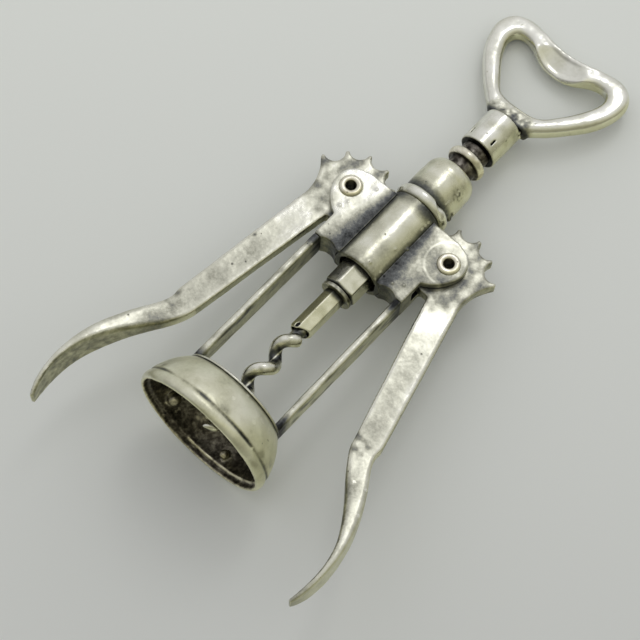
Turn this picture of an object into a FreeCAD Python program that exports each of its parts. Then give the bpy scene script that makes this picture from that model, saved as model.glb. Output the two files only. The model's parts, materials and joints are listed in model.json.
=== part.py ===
import FreeCAD, Part
import math
import os
from FreeCAD import Vector

# Wing corkscrew with a cap-lifter handle, in millimetres.
# The origin is the centre of the bell's mouth. +Y runs up the spindle to the handle,
# +X points to the right lever and +Z to the front. It is modelled as it lies at rest:
# levers nearly down, spindle nearly up.

# --- bell
mouth_radius = 21.5
mouth_land = 2.0
mouth_edge = 0.9
bell_wall = 1.5
band_bulge = 0.75
band_height = 3.3
groove_depth = 0.5
groove_width = 0.8
bell_height = 14.4
bell_bulge = 0.7
bell_ledge = 0.8
roof_inset = 4.3
roof_thickness = 0.9
roof_seat = 3.0

# --- posts
post_width = 2.4
post_foot_depth = 7.6
post_inset = 0.3
post_rounding = 0.9
post_length = 52.7

# --- rack and its ring nut
ring_pitch = 7.0
ring_count = 6
ring_depth = 1.8
ring_root_width = 2.7
ring_tip_width = 1.5
stop_ring_width = 3.4
sleeve_wall = 1.75
stop_ring_below_top = 4.9
nut_height = 10.0
nut_corner_radius = 5.8
nut_below_barrel = 8.2
rack_shown = 10.8

# --- barrel, collar and cap
barrel_length = 27.3
barrel_wall = 1.8
spigot_wall = 0.9
spigot_length = 6.0
collar_height = 3.5
collar_overhang = 0.75
collar_bulge = 1.25
cap_wall = 0.4
cap_bulge = 0.45
cap_height = 14.0
cap_side_height = 9.6
cap_lip = 0.3

# --- lugs
lug_depth = 10.0
lug_eye_radius = 5.6
lug_rise = 26.3
lug_top_round = 4.4
lug_waist_rise = 8.6
lug_arch = 1.0
root_fillet = 2.4

# --- levers
pivot_rise = 18.7
tooth_pitch_angle = 31.0
pitch_line_depth = 0.35
tooth_above_pitch = 0.65
tooth_count = 7
first_tooth_angle = 5.7
tooth_tip_width = 1.1
tooth_root_depth = 2.7
horn_extra = 1.3
lever_thickness = 4.2
arm_length = 60.0
arm_lap = 5.0
arm_root_width = 9.8
arm_end_width = 8.6
arm_offset = 3.3
arm_end_offset = 2.7
arm_rounding = 0.6
pad_depth = 12.0
pad_sweep = 7.0
left_pad_length = 52.8
right_pad_length = 50.4
left_pad_bend = 1.9
right_pad_bend = -1.5
left_lever_angle = 8.5
right_lever_angle = 15.5

# --- rivets
rivet_radius = 2.3
rivet_wall = 0.65
rivet_head_radius = 3.2
rivet_head_height = 0.75

# --- spindle, worm and washer
shank_radius = 2.9
rod_corner_radius = 3.5
rod_length = 16.2
hex_turn = -9.0
washer_radius = 5.3
washer_thickness = 1.2
socket_radius = 1.9
socket_depth = 7.0
socket_mouth_radius = 2.6
socket_mouth_depth = 2.6
mouth_slope = 33.0
mouth_turn = 70.0
worm_wire_radius = 1.95
worm_radius = 3.8
worm_pitch = 11.8
worm_turns = 3.2
worm_point_turns = 0.3
worm_point_shares = (0.985, 0.93, 0.8, 0.55, 0.15)
worm_turn_at_top = 60
pin_radius = 0.8
pin_rise = 1.2
pin_turn = -24.0
pin_recess = 0.35

# --- handle
ferrule_radius = 6.4
ferrule_length = 13.4
ferrule_chamfer = 0.7
stake_length = 2.4
stake_width = 0.7
stake_depth = 0.8
stake_rise = 3.0
stake_angles = (-50.0, 28.0, 130.0, 208.0)
loop_half_width = 25.2
loop_height = 34.7
loop_thickness = 5.8
loop_rounding = 2.3
lifter_width = 22.0
lifter_brow = 0.9
lifter_lip = 1.7
lifter_hollow = 2.4
handle_turn = -4.0

# --- fits and clearances
slide_clearance = 0.3
turn_clearance = 0.05
end_clearance = 0.3
lever_clearance = 0.3
guide_clearance = 0.4

# --- sizes that follow from those above
roof_radius = mouth_radius - roof_inset
core_radius = shank_radius + turn_clearance + sleeve_wall
ring_radius = core_radius + ring_depth
bore_radius = ring_radius + slide_clearance
barrel_radius = bore_radius + barrel_wall
spigot_radius = bore_radius + spigot_wall
collar_radius = barrel_radius + collar_overhang
cap_foot_radius = spigot_radius + cap_wall
roof_top = bell_height + roof_thickness
barrel_bottom = roof_top + post_length
barrel_shoulder = barrel_bottom + barrel_length
collar_top = barrel_shoulder + collar_height
cap_top = collar_top + cap_height
pivot_y = barrel_bottom + pivot_rise
pitch_radius = ring_pitch / math.radians(tooth_pitch_angle)
pivot_x = pitch_radius + ring_radius - pitch_line_depth
tip_radius = pitch_radius + tooth_above_pitch
sweep_radius = tip_radius + lever_clearance
post_outer = roof_radius - post_inset
rack_bottom = barrel_bottom - nut_below_barrel
washer_bottom = rack_bottom - end_clearance - washer_thickness
rod_bottom = washer_bottom - rod_length
ferrule_bottom = cap_top + rack_shown
ferrule_top = ferrule_bottom + ferrule_length
rack_top = ferrule_bottom - end_clearance
mesh_angle = (left_lever_angle + right_lever_angle) / 2


def point(x, y, z=0.0):
    return Vector(x, y, z)


def polygon(points):
    """Closed face in the XY plane."""
    return Part.Face(Part.makePolygon(points + [points[0]]))


def turned(profile):
    """Solid turned about the Y axis from (radius, y) points; a three-item entry is an arc's
    middle point, marked by its last item."""
    edges = []
    last = profile[0]
    middle = None
    for entry in profile[1:] + [profile[0]]:
        if len(entry) == 3:
            middle = entry
            continue
        start = point(last[0], last[1])
        end = point(entry[0], entry[1])
        if middle is None:
            edges.append(Part.LineSegment(start, end).toShape())
        else:
            edges.append(Part.Arc(start, point(middle[0], middle[1]), end).toShape())
        last = entry
        middle = None
    return Part.Face(Part.Wire(edges)).revolve(point(0, 0), Vector(0, 1, 0), 360)


def along_y(radius, low, high):
    return Part.makeCylinder(radius, high - low, point(0, low), Vector(0, 1, 0))


def slab(face, depth):
    """Face in the XY plane thickened equally to the front and the back."""
    face = face.copy()
    face.translate(point(0, 0, -depth / 2))
    return face.extrude(point(0, 0, depth))


def mirrored(shape):
    return shape.mirror(point(0, 0), Vector(1, 0, 0))


def hexagon(corner_radius, low, high):
    """Hexagonal bar along Y, its first corner turned from the front by hex_turn."""
    corners = []
    for step in range(6):
        angle = math.radians(hex_turn + 60 * step)
        corners.append(point(corner_radius * math.sin(angle), low, corner_radius * math.cos(angle)))
    return polygon(corners).extrude(point(0, high - low))


def bell():
    band_radius = mouth_radius + mouth_edge + band_bulge
    shoulder = band_radius - band_bulge / 2
    groove_floor = shoulder - groove_depth
    cone_bottom = band_height + groove_width
    mid_radius = (shoulder + roof_radius) / 2 + bell_bulge
    mid_height = (cone_bottom + bell_height) / 2 + bell_bulge / 2
    seat_radius = roof_radius - roof_seat
    return turned([
        (mouth_radius, 0),
        (mouth_radius + mouth_edge, 0),
        (band_radius, band_height / 2, "arc"),
        (shoulder, band_height),
        (groove_floor, band_height + groove_width / 2),
        (shoulder, cone_bottom),
        (mid_radius, mid_height, "arc"),
        (roof_radius, bell_height),
        (seat_radius, bell_height),
        (seat_radius, bell_height - bell_wall),
        (roof_radius - bell_wall, bell_height - bell_wall),
        (mid_radius - bell_wall, mid_height - bell_wall / 3, "arc"),
        (mouth_radius - bell_ledge, cone_bottom),
        (mouth_radius - bell_ledge, mouth_land),
        (mouth_radius, mouth_land),
    ])


def roof_plate():
    plate = along_y(roof_radius, bell_height, roof_top)
    return plate.cut(along_y(worm_radius + guide_clearance, 0, roof_top + roof_thickness))


def right_post():
    foot = post_foot_depth / 2
    head = lug_depth / 2
    side = Part.makePolygon([
        point(post_outer, roof_top, -foot),
        point(post_outer, roof_top, foot),
        point(post_outer, barrel_bottom, head),
        point(post_outer, barrel_bottom, -head),
        point(post_outer, roof_top, -foot),
    ])
    post = Part.Face(side).extrude(point(-post_width, 0))
    long_edges = [edge for edge in post.Edges if edge.Length > post_length * 0.9]
    return post.makeFillet(post_rounding, long_edges)


def tooth_sweep():
    """Disc that the right lever's teeth pass through, with their clearance."""
    depth = lever_thickness + 2 * lever_clearance
    return Part.makeCylinder(sweep_radius, depth, point(pivot_x, pivot_y, -depth / 2))


def barrel():
    body = turned([
        (bore_radius, barrel_bottom),
        (barrel_radius, barrel_bottom),
        (barrel_radius, barrel_shoulder),
        (spigot_radius, barrel_shoulder),
        (spigot_radius, collar_top + spigot_length - collar_height),
        (bore_radius, collar_top + spigot_length - collar_height),
    ])
    return body.cut(tooth_sweep()).cut(mirrored(tooth_sweep()))


def collar_ring():
    middle = (barrel_shoulder + collar_top) / 2
    edge = collar_radius - collar_bulge
    collar = turned([
        (spigot_radius, barrel_shoulder),
        (edge, barrel_shoulder),
        (collar_radius, middle, "arc"),
        (edge, collar_top),
        (spigot_radius, collar_top),
    ])
    return collar.cut(tooth_sweep()).cut(mirrored(tooth_sweep()))


def dome_cap():
    spigot_top = collar_top + spigot_length - collar_height
    lip_radius = bore_radius + cap_lip
    side_top = collar_top + cap_side_height
    side_radius = cap_foot_radius + cap_bulge / 2
    angle = math.radians(50)
    return turned([
        (spigot_radius, collar_top),
        (cap_foot_radius, collar_top),
        (cap_foot_radius + cap_bulge, collar_top + cap_side_height / 2, "arc"),
        (side_radius, side_top),
        (lip_radius + (side_radius - lip_radius) * math.sin(angle),
         side_top + (cap_top - side_top) * math.cos(angle), "arc"),
        (lip_radius, cap_top),
        (bore_radius, cap_top),
        (bore_radius, spigot_top),
        (spigot_radius, spigot_top),
    ])


def right_lug():
    """Pair of cheek plates, joined below the lever slot, with an eye round the rivet."""
    eye = lug_eye_radius
    top = barrel_bottom + lug_rise
    waist_y = barrel_bottom + lug_waist_rise
    half_gap = (post_outer - post_width - barrel_radius) / 2
    arch_x = barrel_radius + half_gap
    slope = math.radians(-38)
    side = point(pivot_x + eye * math.cos(slope), pivot_y + eye * math.sin(slope))
    shoulder = point(pivot_x - eye * 0.3, top - 0.3)
    corner = lug_top_round
    outline = Part.Wire([
        Part.LineSegment(point(0, barrel_bottom), point(barrel_radius, barrel_bottom)).toShape(),
        Part.Arc(point(barrel_radius, barrel_bottom), point(arch_x, barrel_bottom + lug_arch),
                 point(post_outer - post_width, barrel_bottom)).toShape(),
        Part.LineSegment(point(post_outer - post_width, barrel_bottom),
                         point(post_outer, barrel_bottom)).toShape(),
        Part.LineSegment(point(post_outer, barrel_bottom), point(post_outer, waist_y)).toShape(),
        Part.Arc(point(post_outer, waist_y), point(pivot_x + eye * 0.5, pivot_y - eye * 1.1),
                 side).toShape(),
        Part.Arc(side, point(pivot_x + eye * math.cos(math.radians(28)),
                             pivot_y + eye * math.sin(math.radians(28))),
                 point(pivot_x + corner * 0.45, pivot_y + corner * 1.42)).toShape(),
        Part.Arc(point(pivot_x + corner * 0.45, pivot_y + corner * 1.42),
                 point(pivot_x - eye * 0.02, top - 0.75), shoulder).toShape(),
        Part.LineSegment(shoulder, point(0, top)).toShape(),
        Part.LineSegment(point(0, top), point(0, barrel_bottom)).toShape(),
    ])
    lug = slab(Part.Face(outline), lug_depth)
    for front in (1, -1):
        lug = lug.fuse(lug_root(front, top))
    lug = lug.cut(along_y(barrel_radius, barrel_bottom - lug_rise, top + lug_rise))
    lug = lug.cut(tooth_sweep()).cut(rivet_hole())
    return lug.removeSplitter()


def lug_root(front, top):
    """Concave fillet where a cheek plate runs into the barrel."""
    face_z = lug_depth / 2
    centre_z = face_z + root_fillet
    reach = barrel_radius + root_fillet
    centre_x = math.sqrt(reach ** 2 - centre_z ** 2)
    on_barrel = Vector(centre_x, 0, centre_z) * (barrel_radius / reach)
    inner_x = on_barrel.x - root_fillet
    towards = Vector(-centre_x / reach, 0, -centre_z / reach) + Vector(0, 0, -1)
    middle = Vector(centre_x, 0, centre_z) + towards.normalize() * root_fillet
    low = barrel_bottom + lug_arch
    start = Vector(on_barrel.x, low, front * on_barrel.z)
    end = Vector(centre_x, low, front * face_z)
    bend = Vector(middle.x, low, front * middle.z)
    inner_low = Vector(inner_x, low, front * face_z * 0.8)
    inner_high = Vector(inner_x, low, front * on_barrel.z)
    outer_low = Vector(centre_x, low, front * face_z * 0.8)
    section = Part.Wire([
        Part.Arc(start, bend, end).toShape(),
        Part.LineSegment(end, outer_low).toShape(),
        Part.LineSegment(outer_low, inner_low).toShape(),
        Part.LineSegment(inner_low, inner_high).toShape(),
        Part.LineSegment(inner_high, start).toShape(),
    ])
    return Part.Face(section).extrude(point(0, top - low))


def rivet_hole():
    return Part.makeCylinder(rivet_radius, lug_depth * 2, point(pivot_x, pivot_y, -lug_depth))


def right_rivet():
    """Tubular rivet with a rolled head on each cheek plate."""
    inner = rivet_radius - rivet_wall
    face = lug_depth / 2
    head = face + rivet_head_height
    crown = (inner + rivet_head_radius) / 2
    profile = [
        (inner, -head + rivet_head_height / 2),
        (crown, -head, "arc"),
        (rivet_head_radius, -face),
        (rivet_radius, -face),
        (rivet_radius, face),
        (rivet_head_radius, face),
        (crown, head, "arc"),
        (inner, head - rivet_head_height / 2),
    ]
    rivet = turned(profile)
    rivet.rotate(point(0, 0), Vector(1, 0, 0), 90)
    rivet.translate(point(pivot_x, pivot_y))
    return rivet


def at_angle(angle, radius):
    """Point of a lever at an angle from its outer side, turning towards the handle."""
    turn = math.radians(angle)
    return point(radius * math.cos(turn), radius * math.sin(turn))


def lever_plate():
    """Toothed hub and the root of the arm. The lever hangs straight down from the origin
    here, its outer side to +X."""
    half_tip = math.degrees(tooth_tip_width / tip_radius) / 2
    root = tip_radius - tooth_root_depth
    arm_in = arm_offset - arm_root_width / 2
    arm_out = arm_offset + arm_root_width / 2
    root_y = -(root + arm_lap)
    edges = []
    horn = tip_radius + horn_extra
    start = at_angle(first_tooth_angle - half_tip, horn)
    last = at_angle(first_tooth_angle + half_tip, horn)
    edges.append(Part.LineSegment(start, last).toShape())
    for tooth in range(1, tooth_count):
        centre = first_tooth_angle + tooth_pitch_angle * tooth
        before = at_angle(centre - half_tip, tip_radius)
        after = at_angle(centre + half_tip, tip_radius)
        edges.append(Part.Arc(last, at_angle(centre - tooth_pitch_angle / 2, root), before).toShape())
        edges.append(Part.LineSegment(before, after).toShape())
        last = after
    heel_angle = first_tooth_angle + tooth_pitch_angle * (tooth_count - 0.5)
    heel = at_angle(heel_angle, root)
    flank = at_angle(heel_angle - tooth_pitch_angle * 0.27, root + tooth_root_depth * 0.22)
    edges.append(Part.Arc(last, flank, heel).toShape())
    waist = point(arm_in, -root)
    between = math.degrees(math.atan2(waist.y, waist.x)) % 360
    waist_radius = waist.Length
    swing = at_angle((heel_angle + between) / 2, (root + waist_radius) / 2)
    edges.append(Part.Arc(heel, swing, waist).toShape())
    edges.append(Part.LineSegment(waist, point(arm_in, root_y)).toShape())
    edges.append(Part.LineSegment(point(arm_in, root_y), point(arm_out, root_y)).toShape())
    shoulder = point(arm_out, -root * 0.95)
    edges.append(Part.LineSegment(point(arm_out, root_y), shoulder).toShape())
    sweep = point(arm_out + (horn - arm_out) * 0.35, -root * 0.35)
    edges.append(Part.Arc(shoulder, sweep, start).toShape())
    return slab(Part.Face(Part.Wire(edges)), lever_thickness)


def rounded_section(centre, across, width, depth, rounding):
    """Closed wire of a rounded rectangle: its width runs along across, its depth along Z."""
    up = Vector(0, 0, 1)
    half = width / 2
    rise = depth / 2
    diagonal = rounding * (1 - math.sqrt(0.5))
    edges = []
    sides = ((1, -1), (1, 1), (-1, 1), (-1, -1))
    for index, (sx, sz) in enumerate(sides):
        nx, nz = sides[(index + 1) % 4]
        corner = centre + across * (sx * half) + up * (sz * rise)
        if sx == nx:
            before = corner - across * (sx * rounding)
            after = corner - up * (sz * rounding)
        else:
            before = corner - up * (sz * rounding)
            after = corner - across * (sx * rounding)
        middle = corner - across * (sx * diagonal) - up * (sz * diagonal)
        edges.append(Part.Arc(before, middle, after).toShape())
        following = centre + across * (nx * half) + up * (nz * rise)
        if sx == nx:
            arrive = following - up * (nz * rounding)
        else:
            arrive = following - across * (nx * rounding)
        edges.append(Part.LineSegment(after, arrive).toShape())
    return Part.Wire(edges)


def lever_arm(pad_length, pad_bend):
    """Tapered arm, then a thumb pad that swings out and curls back in at its tip."""
    across = Vector(1, 0, 0)
    root = tip_radius - tooth_root_depth
    arm = Part.makeLoft([
        rounded_section(point(arm_offset, -root - arm_lap / 2), across, arm_root_width,
                        lever_thickness, arm_rounding),
        rounded_section(point(arm_end_offset, -arm_length), across, arm_end_width,
                        lever_thickness, arm_rounding),
    ], True, True)
    # shares of the pad's length, sweep and depth, of the arm's end width and of its rounding
    stations = (
        (0.00, 0.00, 0.35, 1.00, 1.00),
        (0.12, 0.06, 0.40, 0.84, 1.50),
        (0.24, 0.39, 0.52, 0.77, 2.20),
        (0.38, 0.74, 0.72, 0.64, 2.50),
        (0.53, 0.98, 0.92, 0.46, 2.00),
        (0.70, 1.02, 1.00, 0.27, 1.35),
        (0.85, 0.80, 0.92, 0.21, 1.00),
        (0.95, 0.50, 0.68, 0.17, 0.80),
        (1.00, 0.27, 0.42, 0.13, 0.65),
    )
    centres = []
    for along, out, _, _, _ in stations:
        centres.append(point(arm_end_offset + pad_sweep * out + pad_bend * along,
                             -arm_length - pad_length * along))
    sections = []
    for index, (_, _, depth, thickness, rounding) in enumerate(stations):
        before = centres[max(index - 1, 0)]
        after = centres[min(index + 1, len(centres) - 1)]
        run = (after - before).normalize()
        if index == 0:
            run = Vector(0, -1, 0)
        sections.append(rounded_section(centres[index], Vector(-run.y, run.x, 0),
                                        arm_end_width * thickness, pad_depth * depth,
                                        arm_rounding * rounding))
    pad = Part.makeLoft(sections, True, False)
    return arm.fuse(pad)


def lever(angle, pad_length, pad_bend):
    """Lever on the right pivot, swung outwards by an angle."""
    lever = lever_plate().fuse(lever_arm(pad_length, pad_bend))
    bore = Part.makeCylinder(rivet_radius + turn_clearance, lever_thickness * 2,
                             point(0, 0, -lever_thickness))
    lever = lever.cut(bore).removeSplitter()
    lever.rotate(point(0, 0), Vector(0, 0, 1), angle)
    lever.translate(point(pivot_x, pivot_y))
    return lever


def right_lever():
    return lever(right_lever_angle, right_pad_length, right_pad_bend)


def left_lever():
    return mirrored(lever(left_lever_angle, left_pad_length, left_pad_bend))


def ring(centre, root_width, tip_width):
    root = root_width / 2
    tip = tip_width / 2
    shoulder = ring_radius - ring_depth * 0.35
    inner = core_radius - sleeve_wall / 2
    return turned([
        (inner, centre - root),
        (core_radius, centre - root),
        (shoulder, centre - tip),
        (ring_radius, centre, "arc"),
        (shoulder, centre + tip),
        (core_radius, centre + root),
        (inner, centre + root),
    ])


def first_ring_y():
    """Ring next below the pivot, half a pitch from the tooth gap that the levers share."""
    tooth = mesh_angle + first_tooth_angle + tooth_pitch_angle * (tooth_count - 2)
    return pivot_y + pitch_radius * math.radians(180 - tooth) - ring_pitch / 2


def rack():
    nut_top = rack_bottom + nut_height
    body = along_y(core_radius, nut_top - nut_height / 2, rack_top)
    neck = shank_radius + turn_clearance + sleeve_wall * 0.55
    body = body.fuse(along_y(neck, rack_bottom, rack_top))
    lowest = first_ring_y() - 2 * ring_pitch
    for step in range(ring_count):
        body = body.fuse(ring(lowest + step * ring_pitch, ring_root_width, ring_tip_width))
    body = body.fuse(ring(rack_top - stop_ring_below_top, stop_ring_width, stop_ring_width * 0.8))
    body = body.cut(along_y(core_radius * 2, rack_bottom, nut_top).cut(
        along_y(neck, rack_bottom, nut_top)))
    return body.cut(along_y(shank_radius + turn_clearance, rack_bottom, rack_top))


def rack_nut():
    """Hexagon nut with chamfered corners on the rack's lower end."""
    top = rack_bottom + nut_height
    flat = nut_corner_radius * math.cos(math.radians(30))
    slope = (nut_corner_radius - flat) * 1.2
    turning = turned([
        (0, rack_bottom),
        (flat, rack_bottom),
        (nut_corner_radius, rack_bottom + slope),
        (nut_corner_radius, top),
        (0, top),
    ])
    neck = shank_radius + turn_clearance + sleeve_wall * 0.55
    return hexagon(nut_corner_radius, rack_bottom, top).common(turning).cut(
        along_y(neck, rack_bottom, top))


def cross_pin(radius, length):
    """Cylinder across the rod, through the middle of its length, at the pin's place."""
    turn = math.radians(pin_turn)
    way = Vector(math.sin(turn), 0, math.cos(turn))
    start = point(0, rod_bottom + pin_rise) - way * (length / 2)
    return Part.makeCylinder(radius, length, start, way)


def spindle():
    rod = hexagon(rod_corner_radius, rod_bottom, washer_bottom)
    flat = rod_corner_radius * math.cos(math.radians(30))
    slope = (rod_corner_radius - flat) * 1.4
    rod = rod.common(turned([
        (0, rod_bottom),
        (flat, rod_bottom),
        (rod_corner_radius, rod_bottom + slope),
        (rod_corner_radius, washer_bottom),
        (0, washer_bottom),
    ]))
    rod = rod.fuse(along_y(shank_radius, washer_bottom, ferrule_top - ferrule_length * 0.2))
    rod = rod.cut(along_y(socket_radius, rod_bottom, rod_bottom + socket_depth))
    rod = rod.cut(along_y(socket_mouth_radius, rod_bottom, rod_bottom + socket_mouth_depth))
    return rod.cut(rod_mouth()).cut(cross_pin(pin_radius, rod_corner_radius * 4))


def rod_mouth():
    """Wedge that slants the rod's end and so opens its socket to one side."""
    reach = rod_corner_radius * 2
    wedge = polygon([
        point(0, rod_bottom, -reach),
        point(reach, rod_bottom, -reach),
        point(reach, rod_bottom + reach * math.tan(math.radians(mouth_slope)), -reach),
    ]).extrude(point(0, 0, reach * 2))
    wedge.rotate(point(0, 0), Vector(0, 1, 0), mouth_turn - 90)
    return wedge


def retaining_washer():
    top = washer_bottom + washer_thickness
    return along_y(washer_radius, washer_bottom, top).cut(along_y(shank_radius, washer_bottom, top))


def worm_pin():
    flat = rod_corner_radius * math.cos(math.radians(30))
    return cross_pin(pin_radius, 2 * (flat - pin_recess))


def coil_point(radius, top, turns_down):
    """Point on the worm's right-hand helix, so many turns below its top."""
    turn = math.radians(worm_turn_at_top - 360 * turns_down)
    return point(radius * math.sin(turn), top - worm_pitch * turns_down, radius * math.cos(turn))


def wire_sweep(start, end, radii):
    """Round wire along the worm's helix between two turn counts, through equally spaced
    radii."""
    coil = worm_radius - worm_wire_radius
    top = rod_bottom - worm_wire_radius
    steps = math.ceil((end - start) * 20)
    path = []
    for step in range(steps + 1):
        path.append(coil_point(coil, top, start + (end - start) * step / steps))
    curve = Part.BSplineCurve()
    curve.interpolate(path)
    sections = []
    for index, radius in enumerate(radii):
        turns_down = start + (end - start) * index / max(len(radii) - 1, 1)
        heading = coil_point(coil, top, turns_down + 0.01) - coil_point(coil, top, turns_down - 0.01)
        circle = Part.Circle()
        circle.Center = coil_point(coil, top, turns_down)
        circle.Axis = heading
        circle.XAxis = coil_point(coil, 0, turns_down) - coil_point(0, 0, turns_down)
        circle.Radius = radius
        sections.append(Part.Wire([circle.toShape()]))
    return Part.Wire([curve.toShape()]).makePipeShell(sections, True, True)


def worm():
    """Coil drawn out to a point, with a straight shank that fills the rod's socket."""
    point_start = worm_turns - worm_point_turns
    coil = wire_sweep(0, point_start, [worm_wire_radius])
    radii = [worm_wire_radius * share for share in worm_point_shares]
    coil = coil.fuse(wire_sweep(point_start - 0.03, worm_turns, radii))
    shank = along_y(socket_radius, rod_bottom - worm_wire_radius * 2, rod_bottom + socket_depth)
    return coil.fuse(shank).cut(cross_pin(pin_radius, rod_corner_radius * 4))


def ferrule():
    """Sleeve under the handle, staked to the spindle in four places."""
    body = turned([
        (0, ferrule_top - ferrule_length * 0.2),
        (shank_radius, ferrule_top - ferrule_length * 0.2),
        (shank_radius, ferrule_bottom),
        (ferrule_radius - ferrule_chamfer * 0.4, ferrule_bottom),
        (ferrule_radius, ferrule_bottom + ferrule_chamfer * 0.4),
        (ferrule_radius, ferrule_top - ferrule_chamfer),
        (ferrule_radius - ferrule_chamfer, ferrule_top),
        (0, ferrule_top),
    ])
    for angle in stake_angles:
        notch = Part.makeBox(stake_width, stake_length, stake_depth * 2,
                             point(-stake_width / 2, ferrule_bottom + stake_rise - stake_length / 2,
                                   ferrule_radius - stake_depth))
        notch.rotate(point(0, 0), Vector(0, 1, 0), angle)
        body = body.cut(notch)
    return body


def mirrored_curve(half, wide, high):
    """Smooth closed face from half an outline, given as shares of a width and a height."""
    right = [point(wide * x, ferrule_top + high * y) for x, y in half]
    left = [point(-p.x, p.y) for p in reversed(right) if p.x > 0]
    curve = Part.BSplineCurve()
    curve.interpolate(right + left, True)
    return Part.Wire([curve.toShape()])


def cap_lifter():
    """Stirrup loop of the handle; the far side dips inwards to a lip that lifts crown caps."""
    outer = mirrored_curve((
        (0.0, -0.070), (0.17, -0.055), (0.30, 0.020), (0.52, 0.165), (0.730, 0.330),
        (0.895, 0.500), (0.985, 0.670), (1.000, 0.800), (0.925, 0.925), (0.770, 0.990),
        (0.575, 0.995), (0.360, 0.957), (0.160, 0.925), (0.0, 0.918),
    ), loop_half_width, loop_height)
    inner = mirrored_curve((
        (0.0, 0.185), (0.160, 0.190), (0.285, 0.215), (0.420, 0.310), (0.590, 0.480),
        (0.705, 0.640), (0.727, 0.725), (0.675, 0.800), (0.545, 0.812), (0.405, 0.772),
        (0.260, 0.712), (0.120, 0.683), (0.0, 0.677),
    ), loop_half_width, loop_height)
    loop = slab(Part.Face(outer), loop_thickness).cut(slab(Part.Face(inner), loop_thickness))
    faces_z = loop_thickness / 2
    rims = []
    for edge in loop.Edges:
        box = edge.BoundBox
        if box.ZLength < 1e-4 and abs(abs(box.ZMax) - faces_z) < 1e-4:
            rims.append(edge)
    loop = loop.makeFillet(loop_rounding, rims)
    below = Part.makeBox(loop_half_width * 2, loop_height, loop_thickness * 2,
                         point(-loop_half_width, ferrule_top - loop_height, -loop_thickness))
    loop = loop.cut(below).cut(lifter_scoop())
    loop.rotate(point(0, 0), Vector(0, 1, 0), handle_turn)
    return loop


def lifter_scoop():
    """Cylinder that hollows the front of the far bar down to the lip and fades out sideways."""
    lip = point(0, ferrule_top + loop_height * 0.677, lifter_lip - loop_thickness / 2)
    brow = point(0, ferrule_top + loop_height * lifter_brow, loop_thickness / 2 - loop_rounding * 0.2)
    slope = (brow - lip).normalize()
    radius = (lifter_width ** 2 / 4 + lifter_hollow ** 2) / (2 * lifter_hollow)
    middle = lip + Vector(0, -slope.z, slope.y) * radius
    return Part.makeCylinder(radius, loop_thickness * 2, middle - slope * lifter_lip, slope)


def build():
    nodes = {
        "bell": bell(),
        "roof_plate": roof_plate(),
        "right_post": right_post(),
        "left_post": mirrored(right_post()),
        "barrel": barrel(),
        "collar_ring": collar_ring(),
        "dome_cap": dome_cap(),
        "right_lug": right_lug(),
        "left_lug": mirrored(right_lug()),
        "right_rivet": right_rivet(),
        "left_rivet": mirrored(right_rivet()),
        "right_lever": right_lever(),
        "left_lever": left_lever(),
        "rack": rack(),
        "rack_nut": rack_nut(),
        "spindle": spindle(),
        "retaining_washer": retaining_washer(),
        "worm": worm(),
        "worm_pin": worm_pin(),
        "ferrule": ferrule(),
        "cap_lifter": cap_lifter(),
    }
    os.makedirs("parts", exist_ok=True)
    for name, shape in nodes.items():
        shape.exportStep("parts/" + name + ".step")
        print(name, "solids", len(shape.Solids), "volume", round(shape.Volume, 1),
              "valid", shape.isValid())


build()
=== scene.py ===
import json
import math

import bmesh
import bpy
from mathutils import Matrix, Vector, noise


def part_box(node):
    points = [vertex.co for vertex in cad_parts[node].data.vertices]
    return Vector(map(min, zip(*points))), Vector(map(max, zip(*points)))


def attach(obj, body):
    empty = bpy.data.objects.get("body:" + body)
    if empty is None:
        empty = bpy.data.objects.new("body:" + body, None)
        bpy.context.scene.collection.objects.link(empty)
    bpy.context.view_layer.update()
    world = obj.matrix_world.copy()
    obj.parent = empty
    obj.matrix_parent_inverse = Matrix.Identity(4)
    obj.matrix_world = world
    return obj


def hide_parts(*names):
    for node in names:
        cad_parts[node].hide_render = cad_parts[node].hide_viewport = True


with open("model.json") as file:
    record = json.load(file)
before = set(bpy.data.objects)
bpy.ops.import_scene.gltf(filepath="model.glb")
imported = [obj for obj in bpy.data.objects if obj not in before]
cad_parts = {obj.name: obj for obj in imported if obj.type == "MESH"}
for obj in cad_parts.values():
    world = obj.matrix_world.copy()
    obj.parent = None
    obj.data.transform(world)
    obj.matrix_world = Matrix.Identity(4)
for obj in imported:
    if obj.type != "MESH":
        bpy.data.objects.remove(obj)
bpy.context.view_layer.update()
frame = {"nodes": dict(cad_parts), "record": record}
nodes = frame["nodes"]
mm = 0.001
print("frame loaded:", len(nodes), "nodes")


def boxOf(node):
    low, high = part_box(node)
    return Vector(low) / mm, Vector(high) / mm  # millimetres


def pivotOf(joint):
    for entry in frame["record"]["behaviour"]["joints"]:
        if entry["name"] == joint:
            return Vector(entry["pos_m"]) / mm


def rise(value, low, high):
    share = min(1.0, max(0.0, (value - low) / (high - low)))
    return share * share * (3.0 - 2.0 * share)


def near(value, centre, reach):
    return 1.0 - rise(abs(value - centre), 0.0, reach)


def cloud(spot, size, seed=0.0):
    return noise.noise(spot / size + Vector((seed, seed, seed)))  # about -1 to 1, size in mm


def outwardOf(spot, normal):
    across = max(math.hypot(spot.x, spot.z), 0.01)
    return across, (normal.x * spot.x + normal.z * spot.z) / across


def addNode(tree, kind, place, **settings):
    node = tree.nodes.new(kind)
    node.location = place
    for name, value in settings.items():
        setattr(node, name, value)
    return node


def fillRamp(node, tones):
    steps = node.color_ramp.elements
    steps.remove(steps[1])
    steps[0].position = tones[0][0]
    steps[0].color = tones[0][1] + (1,)
    for position, color in tones[1:]:
        steps.new(position).color = color + (1,)


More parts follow.
